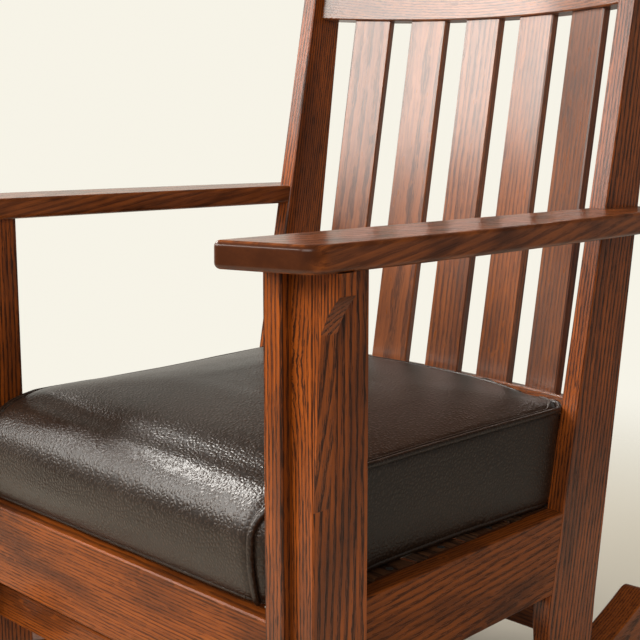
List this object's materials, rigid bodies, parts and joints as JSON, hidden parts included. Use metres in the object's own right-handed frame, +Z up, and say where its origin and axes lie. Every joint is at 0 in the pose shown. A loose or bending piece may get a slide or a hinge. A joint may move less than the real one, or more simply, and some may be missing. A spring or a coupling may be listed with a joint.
{
  "type": "rocking_chair",
  "caption": "Mission-style oak rocking chair with flat arms, a curved slatted back and a loose dark leather seat cushion.",
  "frame": {"origin": "on the floor, at the middle of the width, where the two rockers touch the floor", "axes": "+X to the sitter's left, +Y to the back of the chair, +Z up"},
  "size_m": [0.672, 0.7878, 0.9259],
  "materials": {
    "fumed_oak": "gloss",
    "inner_wood": "matte",
    "screw_steel": "satin",
    "cushion_leather": "satin"
  },
  "bodies": {
    "frame": {"front_post_outer_left": "fumed_oak", "front_post_outer_right": "fumed_oak", "front_post_inner_left": "fumed_oak", "front_post_inner_right": "fumed_oak", "corbel_left": "fumed_oak", "corbel_right": "fumed_oak", "arm_left": "fumed_oak", "arm_right": "fumed_oak", "back_post_left": "fumed_oak", "back_post_right": "fumed_oak", "crest_rail": "fumed_oak", "lower_back_rail": "fumed_oak", "back_slat_1": "fumed_oak", "back_slat_2": "fumed_oak", "back_slat_3": "fumed_oak", "back_slat_4": "fumed_oak", "back_slat_5": "fumed_oak", "front_seat_rail": "fumed_oak", "back_seat_rail": "fumed_oak", "side_rail_left": "fumed_oak", "side_rail_right": "fumed_oak", "side_cleat_left": "inner_wood", "side_cleat_right": "inner_wood", "deck_slat_1": "inner_wood", "deck_slat_2": "inner_wood", "deck_slat_3": "inner_wood", "deck_slat_4": "inner_wood", "deck_slat_5": "inner_wood", "corner_block_front_left": "inner_wood", "corner_block_front_right": "inner_wood", "corner_block_back_left": "inner_wood", "corner_block_back_right": "inner_wood", "front_stretcher": "fumed_oak", "back_stretcher": "fumed_oak", "rocker_left": "fumed_oak", "rocker_right": "fumed_oak", "arm_dowels": "inner_wood", "rocker_dowels": "inner_wood", "deck_screws": "screw_steel", "cleat_screws": "screw_steel", "corner_block_screws": "screw_steel"},
    "cushion": {"cushion": "cushion_leather"}
  },
  "joints": [
    {"name": "cushion_lift", "type": "slide", "parent": "frame", "child": "cushion", "axis": [0, 0, 1], "range_m": [0, 0.12]}
  ]
}
